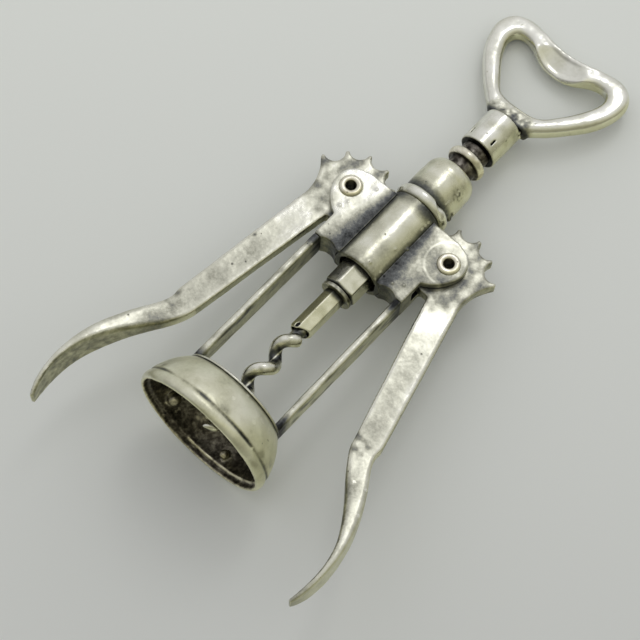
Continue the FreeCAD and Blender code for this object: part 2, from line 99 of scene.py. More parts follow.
# cast silver: bright where hands rub it, blue-black where they never reach; the same tones also carry
# painted shade
polishedFinish = {
    "tones": (  # amount of patina and painted shade, colour
        (0.00, (0.84, 0.835, 0.775)),
        (0.22, (0.63, 0.625, 0.53)),
        (0.44, (0.32, 0.317, 0.262)),
        (0.66, (0.120, 0.125, 0.125)),
        (0.90, (0.026, 0.027, 0.028)),
    ),
    "yellow": (1.0, 0.985, 0.73),
    "wornFrom": 0.515,  # pointiness
    "wornTo": 0.60,
    "worn": 0.30,
    "gloss": 0.19,  # roughness where bright, then where dark
    "dull": 0.46,
    "cloudSize": 8.0,  # mm
    "cloudTint": 0.34,
    "speckSize": 0.9,
    "speckle": 0.34,
    "speckMost": 1.3,
    "creaseReach": 3.0,
    "creaseStart": 0.40,
    "creaseGain": 1.8,
    "pitSpacing": 2.6,
    "pitChance": 0.35,
    "pitTint": 0.28,
    "pitRelief": 0.6,
    "pitDepth": 0.12,
    "grainSize": 0.75,
    "grain": 0.14,
    "grainDepth": 0.10,
    "hollowSize": 4.4,
    "hollows": 0.24,
    "hollowDepth": 0.45,
}
handledFinish = {
    **polishedFinish,
    "gloss": 0.22,
    "grain": 0.26,
    "speckle": 0.40,
    "cloudSize": 6.0,
    "cloudTint": 0.26,
}
satinFinish = {
    **polishedFinish,
    "gloss": 0.29,
    "dull": 0.50,
    "grain": 0.30,
    "hollows": 0.26,
    "cloudSize": 6.5,
    "cloudTint": 0.50,
}
warmFinish = {
    **polishedFinish,
    "tones": (
        (0.00, (0.84, 0.81, 0.69)),
        (0.30, (0.60, 0.56, 0.45)),
        (0.55, (0.215, 0.20, 0.175)),
        (0.75, (0.072, 0.064, 0.054)),
        (0.95, (0.020, 0.017, 0.015)),
    ),
    "gloss": 0.24,
    "speckle": 0.60,
    "speckSize": 1.2,
    "creaseGain": 0.6,
}


def makeSilver(name, look):
    material = bpy.data.materials.new(name)
    material.use_nodes = True
    tree = material.node_tree
    tree.nodes.clear()
    link = tree.links.new
    out = addNode(tree, "ShaderNodeOutputMaterial", (1600, 0))
    shader = addNode(tree, "ShaderNodeBsdfPrincipled", (1300, 0))
    shader.inputs["Metallic"].default_value = 1.0
    link(shader.outputs[0], out.inputs[0])
    place = addNode(tree, "ShaderNodeTexCoord", (-1400, 0))

    def noiseAt(y, size, detail, roughness=0.6):
        node = addNode(tree, "ShaderNodeTexNoise", (-1100, y))
        node.inputs["Scale"].default_value = 1.0 / (size * mm)
        node.inputs["Detail"].default_value = detail
        node.inputs["Roughness"].default_value = roughness
        link(place.outputs["Object"], node.inputs["Vector"])
        return node.outputs["Fac"]

    def mathAt(x, y, operation, *values):
        node = addNode(tree, "ShaderNodeMath", (x, y), operation=operation)
        for index, value in enumerate(values):
            if isinstance(value, (int, float)):
                node.inputs[index].default_value = value
            else:
                link(value, node.inputs[index])
        return node.outputs[0]

    # patina and painted crease shade in creases, found by occlusion, and where a piece's stain and painted
    # shade lie, clouded and speckled
    crease = addNode(tree, "ShaderNodeAmbientOcclusion", (-1100, 350), samples=12)
    crease.inputs["Distance"].default_value = look["creaseReach"] * mm
    creaseShadeAndPatina = mathAt(-850, 350, "SUBTRACT", 1.0 - look["creaseStart"], crease.outputs["AO"])
    creaseShadeAndPatina = mathAt(-700, 350, "MAXIMUM", creaseShadeAndPatina, 0.0)
    creaseShadeAndPatina = mathAt(-550, 350, "MULTIPLY", creaseShadeAndPatina, look["creaseGain"])
    stainAndShade = addNode(tree, "ShaderNodeAttribute", (-850, 180), attribute_name="stainAndShade")
    amount = mathAt(-400, 300, "MAXIMUM", creaseShadeAndPatina, stainAndShade.outputs["Fac"])
    tarnish = mathAt(-850, -50, "SUBTRACT", noiseAt(-50, look["cloudSize"], 5), 0.5)
    amount = mathAt(-250, 250, "MULTIPLY_ADD", tarnish, look["cloudTint"], amount)
    speck = mathAt(-850, -250, "SUBTRACT", noiseAt(-250, look["speckSize"], 4, 0.7), 0.5)
    spread = mathAt(-550, -150, "MULTIPLY_ADD", amount, 2.0, 0.25)
    spread = mathAt(-400, -150, "MINIMUM", spread, look["speckMost"])
    speck = mathAt(-250, -200, "MULTIPLY", speck, spread)
    amount = mathAt(-100, 200, "MULTIPLY_ADD", speck, look["speckle"], amount)

    # sparse casting pits
    cells = addNode(tree, "ShaderNodeTexVoronoi", (-1100, -500))
    cells.inputs["Scale"].default_value = 1.0 / (look["pitSpacing"] * mm)
    link(place.outputs["Object"], cells.inputs["Vector"])
    chance = addNode(tree, "ShaderNodeSeparateColor", (-900, -600))
    link(cells.outputs["Color"], chance.inputs[0])
    width = mathAt(-700, -600, "SUBTRACT", chance.outputs[0], 1.0 - look["pitChance"])
    width = mathAt(-550, -600, "MULTIPLY", width, 0.5)
    pit = mathAt(-400, -500, "SUBTRACT", width, cells.outputs["Distance"])
    pit = mathAt(-250, -500, "MULTIPLY", pit, 12.0)
    pit = mathAt(-100, -500, "MAXIMUM", pit, 0.0)
    pit = mathAt(50, -500, "MINIMUM", pit, 1.0)
    amount = mathAt(50, 150, "MULTIPLY_ADD", pit, look["pitTint"], amount)

    # sharp edges are worn bright
    shape = addNode(tree, "ShaderNodeNewGeometry", (-400, 520))
    worn = addNode(tree, "ShaderNodeMapRange", (-200, 520))
    worn.inputs["From Min"].default_value = look["wornFrom"]
    worn.inputs["From Max"].default_value = look["wornTo"]
    worn.inputs["To Max"].default_value = look["worn"]
    link(shape.outputs["Pointiness"], worn.inputs["Value"])
    amount = mathAt(150, 150, "SUBTRACT", amount, worn.outputs[0])

    tones = addNode(tree, "ShaderNodeValToRGB", (300, 250))
    fillRamp(tones, look["tones"])
    link(amount, tones.inputs["Fac"])
    warmth = addNode(tree, "ShaderNodeAttribute", (300, 520), attribute_name="warmth")
    yellow = addNode(tree, "ShaderNodeMix", (620, 300), data_type="RGBA", blend_type="MULTIPLY")
    yellow.inputs[7].default_value = look["yellow"] + (1,)
    link(warmth.outputs["Fac"], yellow.inputs[0])
    link(tones.outputs["Color"], yellow.inputs[6])
    link(yellow.outputs[2], shader.inputs["Base Color"])

    rough = addNode(tree, "ShaderNodeMapRange", (300, -50))
    rough.inputs["From Min"].default_value = -0.1
    rough.inputs["From Max"].default_value = 0.9
    rough.inputs["To Min"].default_value = look["gloss"]
    rough.inputs["To Max"].default_value = look["dull"]
    link(amount, rough.inputs["Value"])
    link(rough.outputs[0], shader.inputs["Roughness"])

    fine = addNode(tree, "ShaderNodeBump", (700, -350))
    fine.inputs["Strength"].default_value = look["grain"]
    fine.inputs["Distance"].default_value = look["grainDepth"] * mm
    link(noiseAt(-800, look["grainSize"], 4, 0.7), fine.inputs["Height"])
    broad = addNode(tree, "ShaderNodeBump", (880, -350))
    broad.inputs["Strength"].default_value = look["hollows"]
    broad.inputs["Distance"].default_value = look["hollowDepth"] * mm
    link(noiseAt(-1000, look["hollowSize"], 2), broad.inputs["Height"])
    link(fine.outputs[0], broad.inputs["Normal"])
    dimple = addNode(tree, "ShaderNodeBump", (1060, -350), invert=True)
    dimple.inputs["Strength"].default_value = look["pitRelief"]
    dimple.inputs["Distance"].default_value = look["pitDepth"] * mm
    link(pit, dimple.inputs["Height"])
    link(broad.outputs[0], dimple.inputs["Normal"])
    link(dimple.outputs[0], shader.inputs["Normal"])
    return material


metals = {
    "polished": makeSilver("polishedSilver", polishedFinish),
    "handled": makeSilver("handledSilver", handledFinish),
    "satin": makeSilver("satinSilver", satinFinish),
    "warm": makeSilver("warmSilver", warmFinish),
}
print("silver made")

# waves that make a casting's faces uneven: size in mm and levels of detail
castingTextures = {}
for waveName, waveSize, waveDepth in (("handMade", 9.0, 2), ("sandGrain", 2.2, 1)):
    wave = bpy.data.textures.new(waveName, "CLOUDS")
    wave.noise_scale = waveSize * mm
    wave.noise_depth = waveDepth
    castingTextures[waveName] = wave


def addBead(mesh, centre, radius):
    build = bmesh.new()
    build.from_mesh(mesh)
    place = Matrix.Translation(Vector(centre) * mm)
    bmesh.ops.create_icosphere(build, subdivisions=3, radius=radius * mm, matrix=place)
    build.to_mesh(mesh)
    build.free()


# painted reflection: a yellow tint laid on by which way a face points
def paintedReflectionTint(normal):
    return rise(0.8 * normal.x - 0.5 * normal.y, 0.05, 0.65)  # strongest on the right and low sides


# a casting is its CAD solid with soft edges, uneven faces, relief, and stains with painted shade and
# highlights;
# cell, wobble and grain are in mm, stains and painted shade run from 0, bright, to 1, black
def makeCasting(node, body, look, stainAndShadeAt, beads=(), reliefAt=None, warmAt=None):
    mesh = nodes[node].data.copy()
    for centre, radius in beads:
        addBead(mesh, centre, radius)
    piece = bpy.data.objects.new(node + "Casting", mesh)
    bpy.context.scene.collection.objects.link(piece)
    skin = piece.modifiers.new("skin", "REMESH")
    skin.mode = "VOXEL"
    skin.voxel_size = look["cell"] * mm
    soften = piece.modifiers.new("soften", "SMOOTH")
    soften.factor = 0.5
    soften.iterations = look["soften"]
    for waveName, height in (("handMade", look["wobble"]), ("sandGrain", look["grain"])):
        wave = piece.modifiers.new(waveName, "DISPLACE")
        wave.texture = castingTextures[waveName]
        wave.texture_coords = "LOCAL"
        wave.strength = height * mm
        wave.mid_level = 0.5
    graph = bpy.context.evaluated_depsgraph_get()
    shaped = bpy.data.meshes.new_from_object(piece.evaluated_get(graph))
    piece.modifiers.clear()
    piece.data = shaped
    shaped.materials.clear()
    shaped.materials.append(metals[look.get("metal", "polished")])
    shaped.shade_smooth()
    spots = [v.co / mm for v in shaped.vertices]
    normals = [v.normal.copy() for v in shaped.vertices]
    # the stain attribute holds patina together with painted shade and painted highlights
    stainAndShade = shaped.attributes.new("stainAndShade", "FLOAT", "POINT")
    stainAndShade.data.foreach_set("value", [stainAndShadeAt(s, n) for s, n in zip(spots, normals)])
    warmth = shaped.attributes.new("warmth", "FLOAT", "POINT")
    # warmth is the piece's own yellow tint plus the painted reflection tint
    warmth.data.foreach_set("value", [paintedReflectionTint(n) + look.get("warmth", 0.0) for n in normals])
    if warmAt:
        shaped.materials.append(metals["warm"])
        warm = [warmAt(s, n) for s, n in zip(spots, normals)]
        for face in shaped.polygons:
            face.material_index = int(all(warm[v] for v in face.vertices))
    if reliefAt:
        for vertex, spot, normal in zip(shaped.vertices, spots, normals):
            vertex.co = (spot + normal * reliefAt(spot, normal)) * mm
    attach(piece, body)
    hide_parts(node)
    print(node, "faces", len(shaped.polygons))


# bell and its roof
bellLook = {
    "cell": 0.40,
    "soften": 3,
    "wobble": 0.22,
    "grain": 0.05,
    "metal": "satin",
    "warmth": 0.4,
    "tone": 0.13,
    "clouds": 0.12,
    "grooveHeight": 3.7,
    "grooveReach": 1.0,
    "grooveStain": 0.52,
    "shoulderReach": 1.5,
    "shoulderStain": 0.55,
    "crust": 0.5,
    # painted shade: the bell's dark inside, with dust and specks in it
    "insideShade": 0.70,
    "insideDust": 0.22,
    "insideSpecks": 0.14,
    "ledgeHeight": 2.1,
    # painted highlights inside the bell: the ledge, the mouth's edge and the lumps
    "ledgeShine": 0.75,
    "edgeShine": 0.34,
    "lumpShine": 0.36,
    "lumps": (  # place and radius, left by the casting
        ((4.8, 5.2, -18.4), 1.5),
        ((-15.6, 6.0, -11.0), 2.2),
        ((-6.0, 10.0, -15.6), 1.3),
    ),
}
bellLow, bellHigh = boxOf("bell")


def insideBell(spot, normal):
    across, outward = outwardOf(spot, normal)
    return outward < -0.2 or (normal.y < -0.5 and spot.y > bellLook["grooveHeight"])


# the bell's inside: painted shade with dust, and painted highlights on ledge, lumps and mouth
def dustAndPaintedLightInsideBell(spot):
    look = bellLook
    ledge = near(spot.y, look["ledgeHeight"], 0.45) * (0.75 + cloud(spot, 2.6, 5.0))
    ledge *= rise(spot.x, -9.5, -5.0) * rise(-spot.z, -4.0, 4.0)  # painted highlight, on one side only
    lump = 0.0
    for centre, radius in look["lumps"]:
        lump = max(lump, near((spot - Vector(centre)).length, 0.0, radius * 2.4))
    dust = look["insideDust"] * cloud(spot, 2.4, 1.0) + look["insideSpecks"] * cloud(spot, 0.8, 5.0)
    shine = look["lumpShine"] * lump + look["ledgeShine"] * max(0.0, ledge)
    shine += look["edgeShine"] * near(spot.y, bellLow.y, 0.9)
    return look["insideShade"] + dust - shine


def stainAndShadeBell(spot, normal):
    look = bellLook
    if insideBell(spot, normal):
        return dustAndPaintedLightInsideBell(spot)
    groove = near(spot.y, look["grooveHeight"], look["grooveReach"])
    groove *= look["grooveStain"] + 0.6 * cloud(spot, 6.0, 9.0)
    shoulder = look["shoulderStain"] * near(spot.y, bellHigh.y, look["shoulderReach"])
    crust = look["crust"] * near(spot.y, look["grooveHeight"] + 1.2, 3.0)
    crust *= max(0.0, cloud(spot, 3.4, 2.0))
    return max(groove, shoulder, look["tone"] + crust + look["clouds"] * cloud(spot, 7.0, 2.0))


# the inside faces get the warm metal, coloured as the painted shade inside
makeCasting("bell", "frame", bellLook, stainAndShadeBell, beads=bellLook["lumps"], warmAt=insideBell)

roofLook = {
    "cell": 0.28,
    "soften": 3,
    "wobble": 0.06,
    "grain": 0.04,
    "tone": 0.24,
    "clouds": 0.22,
    "footPlace": 15.7,
    "footReach": 6.0,
    "footStain": 0.95,
    "holeRadius": 4.2,
    "holeReach": 3.6,
    "holeStain": 0.92,
    "underShade": 0.7,
}


def stainAndShadeRoof(spot, normal):
    look = roofLook
    foot = near(math.hypot(abs(spot.x) - look["footPlace"], spot.z / 2.2), 0.0, look["footReach"])
    hole = near(math.hypot(spot.x, spot.z), look["holeRadius"], look["holeReach"])
    # painted shade on faces that point towards the bell's mouth
    under = look["underShade"] if normal.y < -0.5 else 0.0
    baseTone = look["tone"] + look["clouds"] * cloud(spot, 4.0, 3.0)
    return max(look["footStain"] * foot, look["holeStain"] * hole, under, baseTone)


makeCasting("roof_plate", "frame", roofLook, stainAndShadeRoof)

# posts
postLook = {
    "cell": 0.28,
    "soften": 4,
    "wobble": 0.26,
    "grain": 0.08,
    "tone": 0.16,
    "footReach": 7.8,
    "footStain": 0.88,
    "headReach": 9.0,
    "headStain": 0.80,
    "sideShade": 0.26,
    "inwardShade": 0.12,
    "blotch": 0.50,
    "leftSolder": (((-14.9, 18.9, 2.6), 0.75), ((-15.4, 17.6, 1.9), 0.6)),
}
postLow, postHigh = boxOf("right_post")


def stainAndShadePost(spot, normal):
    look = postLook
    foot = look["footStain"] * near(spot.y, postLow.y, look["footReach"])
    head = look["headStain"] * near(spot.y, postHigh.y, look["headReach"])
    # painted shade: the post's sideways faces, more on those facing inwards
    side = look["sideShade"] * rise(abs(normal.x), 0.4, 0.9)
    inward = look["inwardShade"] if normal.x * spot.x < -0.3 else 0.0
    stretched = Vector((spot.x * 1.6, spot.y * 0.45, spot.z * 1.3))  # blotches run along the post
    blotch = look["blotch"] * max(0.0, cloud(stretched, 2.2, 4.0) - 0.05)
    return max(foot, head, side + inward, look["tone"]) + blotch


makeCasting("right_post", "frame", postLook, stainAndShadePost)
makeCasting("left_post", "frame", postLook, stainAndShadePost, beads=postLook["leftSolder"])

# barrel, collar and cap
barrelLook = {
    "cell": 0.34,
    "soften": 3,
    "wobble": 0.14,
    "grain": 0.02,
    "warmth": 0.15,
    "tone": 0.17,
    "clouds": 0.20,
    "sideFrom": {-1: 3.0, 1: 4.6},  # mm from the middle, left and right
    "sideTo": 7.4,
    "sideShade": 0.70,
    "collarReach": 6.5,
    "collarShadow": 0.80,
    "rimReach": 1.6,
    "rimStain": 0.55,
    "lowReach": 10.0,
    "lowDarkening": 0.36,
    "lumps": (
        ((7.0, 82.0, 5.0), 0.7),
        ((4.9, 78.9, 7.1), 0.35),
        ((2.5, 70.3, 8.0), 0.6),
        ((-5.4, 80.8, 6.6), 0.4),
    ),
}
barrelLow = boxOf("barrel")[0]
collarLow, collarHigh = boxOf("collar_ring")
lugLow, lugHigh = boxOf("right_lug")


def sideOf(spot):
    return 1 if spot.x > 0 else -1


def stainAndShadeBarrel(spot, normal):
    look = barrelLook
    across, outward = outwardOf(spot, normal)
    if outward < -0.3:
        return 1.0  # painted shade inside the tube
    # painted shade on the barrel's flanks beside the cheeks
    sideFrom = look["sideFrom"][sideOf(spot)] + 0.8 * cloud(spot, 4.0, 1.0)
    betweenCheeks = 1.0 - rise(spot.y, lugHigh.y - 2.0, lugHigh.y + 2.5)
    beside = look["sideShade"] * rise(abs(spot.x), sideFrom, look["sideTo"]) * betweenCheeks
    # painted shadow under the collar ring
    under = look["collarShadow"] * near(spot.y, collarLow.y, look["collarReach"])
    under *= 0.55 + 0.45 * rise(abs(spot.x + 1.5), 0.5, 5.0)
    rim = look["rimStain"] * near(spot.y, barrelLow.y, look["rimReach"])
    # darker towards the barrel's low end
    low = look["lowDarkening"] * near(spot.y, barrelLow.y, look["lowReach"])
    return max(beside, under, rim, low, look["tone"] + look["clouds"] * cloud(spot, 5.0, 6.0))


makeCasting("barrel", "frame", barrelLook, stainAndShadeBarrel, beads=barrelLook["lumps"])

collarLook = {
    "cell": 0.24,
    "soften": 3,
    "wobble": 0.22,
    "grain": 0.03,
    "tone": 0.06,
    "clouds": 0.2,
    "edgeDarkening": 0.45,
    "dent": 0.9,
    "dentPlace": (5.6, 97.6, 7.4),
    "dentReach": 5.0,
    "spread": 0.45,
}


def stainCollar(spot, normal):
    look = collarLook
    edge = max(near(spot.y, collarLow.y, 0.7), near(spot.y, collarHigh.y, 0.8))
    return max(look["edgeDarkening"] * edge, look["tone"] + look["clouds"] * cloud(spot, 3.0, 7.0))


def reliefCollar(spot, normal):
    look = collarLook
    off = spot - Vector(look["dentPlace"])
    dent = look["dent"] * near(off.y + 0.55 * off.x, 0.6, 1.3) * near(off.length, 0.0, look["dentReach"])
    return look["spread"] * max(0.0, normal.y) - dent


makeCasting("collar_ring", "frame", collarLook, stainCollar, reliefAt=reliefCollar)

capLook = {
    "cell": 0.28,
    "soften": 3,
    "wobble": 0.12,
    "grain": 0.02,
    "warmth": 0.25,
    "tone": 0.17,
    "clouds": 0.22,
    "footReach": 5.4,
    "footStain": 0.74,
    "lipRadius": 7.2,
    "lipStain": 0.5,
    "crust": 0.8,
    "crustPlace": (8.6, 101.0, 0.6),
    "crustReach": 3.4,
    "freckles": 0.75,
    "frecklePlace": (6.6, 105.5, 5.2),
    "freckleReach": 3.6,
    "lumps": (((8.1, 100.2, 0.2), 1.0), ((8.3, 101.8, 1.4), 0.7)),
}
capLow, capHigh = boxOf("dome_cap")


def stainAndShadeCap(spot, normal):
    look = capLook
    across, outward = outwardOf(spot, normal)
    # painted shade: the cap's inside is drawn black
    if outward < -0.3:
        return 1.0
    foot = look["footStain"] * near(spot.y, capLow.y, look["footReach"] * (1.0 - 0.03 * spot.x))
    fromCrust = (spot - Vector(look["crustPlace"])).length
    crust = look["crust"] * near(fromCrust, 0.0, look["crustReach"]) * (0.8 + 0.8 * cloud(spot, 1.1, 2.0))
    fromFreckles = (spot - Vector(look["frecklePlace"])).length
    freckles = look["freckles"] * near(fromFreckles, 0.0, look["freckleReach"])
    freckles *= max(0.0, cloud(spot, 0.9, 3.0))
    lip = look["lipStain"] * near(spot.y, capHigh.y, 0.9) if across < look["lipRadius"] else 0.0
    return max(foot, crust, lip, look["tone"] + look["clouds"] * cloud(spot, 3.6, 8.0)) + freckles


makeCasting("dome_cap", "frame", capLook, stainAndShadeCap, beads=capLook["lumps"])

# cheek plates
cheekLook = {
    "cell": 0.30,
    "soften": 4,
    "wobble": 0.20,
    "grain": 0.06,
    "metal": "handled",
    "stainAndShade": 0.78,
    "darkFrom": 7.0,
    "darkTo": {-1: 23.0, 1: 22.0},
    "darkSlope": 0.45,  # the dark band of patina and painted shade narrows upwards
    "rubbedRadius": 7.2,
    "rubbedTone": {-1: 0.17, 1: 0.45},
    "scratch": {-1: 0.0, 1: 0.17},  # a bright ring worn round the right rivet
    "topHighlight": 0.16,
    "topFrom": 84.0,
    "topTo": 91.0,
    "rivetStain": 0.42,
    "lowDarkening": 0.6,
    "edgeDarkening": 0.34,
    "rightLumps": (((10.8, 70.9, 4.9), 0.5), ((13.8, 72.7, 4.9), 0.42)),
    "leftLumps": (((-17.2, 79.7, 4.8), 0.55), ((-16.2, 82.2, 4.8), 0.45), ((-12.6, 91.0, 5.0), 0.4)),
}
rightPivot = pivotOf("right_lever_hinge")
rivetHead = 3.2  # mm, radius


def fromRivet(spot):
    return math.hypot(abs(spot.x) - rightPivot.x, spot.y - rightPivot.y)


def stainAndShadeCheek(spot, normal):
    look = cheekLook
    if abs(spot.z) < 3.0 and abs(normal.z) > 0.5:
        return 1.0  # painted shade inside the slot
    side = sideOf(spot)
    # patina and painted shade next to the barrel
    reach = look["darkTo"][side] + 1.2 * cloud(spot, 5.0, 4.0)
    reach -= look["darkSlope"] * (spot.y - lugLow.y)
    beside = look["stainAndShade"] * (1.0 - rise(abs(spot.x), look["darkFrom"], max(9.0, reach)))
    beside *= 1.0 + 0.18 * cloud(spot, 2.6, 2.0)
    radius = look["rubbedRadius"]
    beside *= 0.55 + 0.45 * rise(fromRivet(spot), radius - 1.0, radius + 1.2)
    scratch = look["scratch"][side] * near(fromRivet(spot), radius, 0.6)
    ring = look["rivetStain"] * near(fromRivet(spot), rivetHead + 0.2, 0.8)
    low = look["lowDarkening"] * near(spot.y, lugLow.y, 2.6)
    # painted shade on the plate's side walls
    edge = look["edgeDarkening"] if abs(normal.z) < 0.5 else 0.0
    baseTone = look["rubbedTone"][side] + 0.18 * cloud(spot, 3.4, 9.0)
    # painted highlight towards the top
    baseTone -= look["topHighlight"] * rise(spot.y, look["topFrom"], look["topTo"])
    return max(beside, ring, low, edge, baseTone) - scratch


makeCasting("right_lug", "frame", cheekLook, stainAndShadeCheek, beads=cheekLook["rightLumps"])
makeCasting("left_lug", "frame", cheekLook, stainAndShadeCheek, beads=cheekLook["leftLumps"])

# rivets
rivetLook = {
    "cell": 0.13,
    "soften": 2,
    "wobble": 0.06,
    "grain": 0.0,
    "metal": "warm",
    "tone": 0.12,
    "clouds": 0.2,
    "edgeDarkening": 0.45,
    "bore": 1.75,
    "boreShade": 0.36,
    "boreDepth": 5.2,
    "deepShade": 0.45,
    "spread": 0.45,
}


def stainAndShadeRivet(spot, normal):
    look = rivetLook
    across = fromRivet(spot)
    # painted shade in the bore, darker deeper in
    if across < look["bore"]:
        return look["boreShade"] + look["deepShade"] * rise(look["boreDepth"] - abs(spot.z), 0.0, 4.0)
    edge = look["edgeDarkening"] * near(across, rivetHead + look["spread"], 0.4)
    return max(edge, look["tone"] + look["clouds"] * cloud(spot, 1.6))


def reliefRivet(spot, normal):
    return rivetLook["spread"] * rise(fromRivet(spot), 2.3, 3.1) * (1.0 - 0.6 * abs(normal.z))


makeCasting("right_rivet", "frame", rivetLook, stainAndShadeRivet, reliefAt=reliefRivet)
makeCasting("left_rivet", "frame", rivetLook, stainAndShadeRivet, reliefAt=reliefRivet)

# levers: stains, painted shade and crowned faces are laid out along each lever, in mm from its pivot
leverLook = {
    "cell": 0.38,
    "soften": 5,
    "wobble": 0.22,
    "grain": 0.06,
    "metal": "handled",
    "armCentre": 3.0,
    "armHalf": 4.6,
    "hubTo": 20.0,
    "hubStain": 0.50,
    "edgeDarkening": 0.36,
    "bend": 61.0,
    "bendReach": 9.0,
    "bendStain": 0.62,
    "padFrom": 64.0,
    "padShade": 0.40,
    "padTone": 0.12,
    "markReach": 3.2,
    "markStain": 0.55,
    "blotch": 0.14,
    "hollow": 0.10,
}
leverSides = {
    "left_lever": {"side": -1, "angle": 8.5, "tone": 0.22, "swell": 0.0, "mark": (-29.8, 56.6, 2.1)},
    "right_lever": {"side": 1, "angle": 15.5, "tone": 0.18, "swell": 0.45, "mark": (22.0, 76.3, 2.1)},
}


def leverPlace(own, spot):
    turn = math.radians(own["angle"])
    along = Vector((own["side"] * math.sin(turn), -math.cos(turn), 0))
    across = Vector((own["side"] * math.cos(turn), math.sin(turn), 0))
    off = spot - Vector((own["side"] * rightPivot.x, rightPivot.y, 0))
    return off.dot(along), off.dot(across) - leverLook["armCentre"]


def middleOf(offset):
    return max(0.0, 1.0 - (offset / leverLook["armHalf"]) ** 2)  # 1 along the arm's middle


def stainAndShadeLeverOf(own):
    look = leverLook
    mark = Vector(own["mark"])

    def stainAndShadeLever(spot, normal):
        run, offset = leverPlace(own, spot)
        hub = look["hubStain"] * (1.0 - rise(run, 9.0, look["hubTo"])) * (0.8 + 0.8 * cloud(spot, 3.0, 6.0))
        # painted shade on the lever's side faces
        edge = look["edgeDarkening"] if abs(normal.z) < 0.5 and run < look["bend"] - 1.0 else 0.0
        bend = look["bendStain"] * near(run, look["bend"], look["bendReach"])
        bend *= max(0.0, 0.62 + cloud(spot, 2.2, 1.0))
        bend *= rise(-offset * own["side"], -5.0, 2.0)
        # painted shade on the pad's inward faces
        facesIn = -own["side"] * normal.x > 0.45
        pad = look["padShade"] * rise(run, look["padFrom"], look["padFrom"] + 12.0) if facesIn else 0.0
        fromMark = (spot - mark).length
        scar = look["markStain"] * near(fromMark, 0.0, look["markReach"])
        scar *= max(0.0, 0.5 + cloud(spot, 1.1, 8.0))
        blotch = look["blotch"] * max(0.0, cloud(spot, 4.2, 3.0) - 0.10)
        # painted shade: darker along the arm's middle, lighter towards its edges
        baseTone = own["tone"] * (0.45 + 1.2 * middleOf(offset) * rise(run, 14.0, 34.0))
        baseTone += 0.10 * cloud(spot, 6.0, 4.0)
        baseTone += look["padTone"] * rise(run, look["padFrom"] + 2.0, look["padFrom"] + 10.0)
        return max(hub, edge, bend, scar, pad + 0.2 * cloud(spot, 2.0, 2.0), baseTone) + blotch

    return stainAndShadeLever


def reliefLeverOf(own):
    def reliefLever(spot, normal):
        run, offset = leverPlace(own, spot)
        onArm = rise(run, 15.0, 26.0) * (1.0 - rise(run, 56.0, 64.0)) * abs(normal.z)
        swell = own["swell"] * rise(run, 9.0, 28.0) * (1.0 - rise(run, 28.0, 60.0))
        return swell * max(0.0, normal.z) - leverLook["hollow"] * middleOf(offset) * onArm

    return reliefLever


for leverName, leverOwn in leverSides.items():
    makeCasting(leverName, leverName, leverLook, stainAndShadeLeverOf(leverOwn), reliefAt=reliefLeverOf(leverOwn))

# rack: ringed sleeve and its nut
rackLook = {
    "cell": 0.26,
    "soften": 3,
    "wobble": 0.08,
    "grain": 0.08,
    "metal": "warm",
    "tone": 0.10,
    "clouds": 0.30,
    "neck": 5.5,
    "neckStain": 0.74,
    "lowDarkening": 0.55,
}


def stainRack(spot, normal):
    look = rackLook
    across, outward = outwardOf(spot, normal)
    neck = look["neckStain"] * (1.0 - rise(across, look["neck"], look["neck"] + 0.6))
    if spot.y < barrelLow.y:
        neck = look["lowDarkening"]
    return max(neck, look["tone"]) + look["clouds"] * cloud(spot, 1.5, 2.0)


makeCasting("rack", "rack", rackLook, stainRack)

nutLook = {
    "cell": 0.22,
    "soften": 10,
    "wobble": 0.16,
    "grain": 0.04,
    "warmth": 0.2,
    "clouds": 0.3,
    "lowReach": 1.2,
    "lowDarkening": 0.85,
    "highReach": 1.8,
    "highStain": 0.68,
}
nutLow, nutHigh = boxOf("rack_nut")


def stainNut(spot, normal):
    look = nutLook
    low = look["lowDarkening"] * near(spot.y, nutLow.y, look["lowReach"])
    high = look["highStain"] * near(spot.y, nutHigh.y, look["highReach"])
    return max(low, high, look["clouds"] * cloud(spot, 2.4, 4.0))


makeCasting("rack_nut", "rack", nutLook, stainNut)

# spindle, washer, worm and pin
rodLook = {
    "cell": 0.20,
    "soften": 8,
    "wobble": 0.10,
    "grain": 0.03,
    "warmth": 0.5,
    "tone": 0.08,
    "clouds": 0.22,
    "socketRadius": 2.8,
    "socketShade": 0.60,
    "sleeveShade": 0.9,
    "endShade": 0.5,
    "washerReach": 3.0,
    "washerStain": 0.90,
}
rodLow = boxOf("spindle")[0]
washerLow, washerHigh = boxOf("retaining_washer")


def stainAndShadeRod(spot, normal):
    look = rodLook
    across, outward = outwardOf(spot, normal)
    # painted shade: the socket, the sleeve hidden above the washer, and faces not facing outward
    if across < look["socketRadius"] and spot.y < washerLow.y:
        return look["socketShade"]
    if spot.y > washerHigh.y:
        return look["sleeveShade"]
    if outward < 0.2:
        return look["endShade"]
    washer = look["washerStain"] * near(spot.y, washerLow.y, look["washerReach"])
    return max(washer, look["tone"] + look["clouds"] * cloud(spot, 2.6, 6.0))


makeCasting("spindle", "screw", rodLook, stainAndShadeRod)

washerLook = {"cell": 0.16, "soften": 1, "wobble": 0.04, "grain": 0.03, "tone": 0.46, "clouds": 0.3}


def stainWasher(spot, normal):
    return washerLook["tone"] + washerLook["clouds"] * cloud(spot, 1.4, 1.0)


makeCasting("retaining_washer", "screw", washerLook, stainWasher)

wormLook = {
    "cell": 0.19,
    "soften": 4,
    "wobble": 0.30,
    "grain": 0.05,
    "tone": 0.14,
    "clouds": 0.30,
    "valleyShade": 0.95,
    "topReach": 2.6,
    "topDarkening": 0.7,
}


def stainAndShadeWorm(spot, normal):
    look = wormLook
    across, outward = outwardOf(spot, normal)
    # painted shade on the coil's inward faces
    valley = look["valleyShade"] * rise(-outward, -0.86, 0.1)
    top = look["topDarkening"] * near(spot.y, rodLow.y, look["topReach"])
    return max(valley, top, look["tone"]) + look["clouds"] * cloud(spot, 1.5, 2.0)


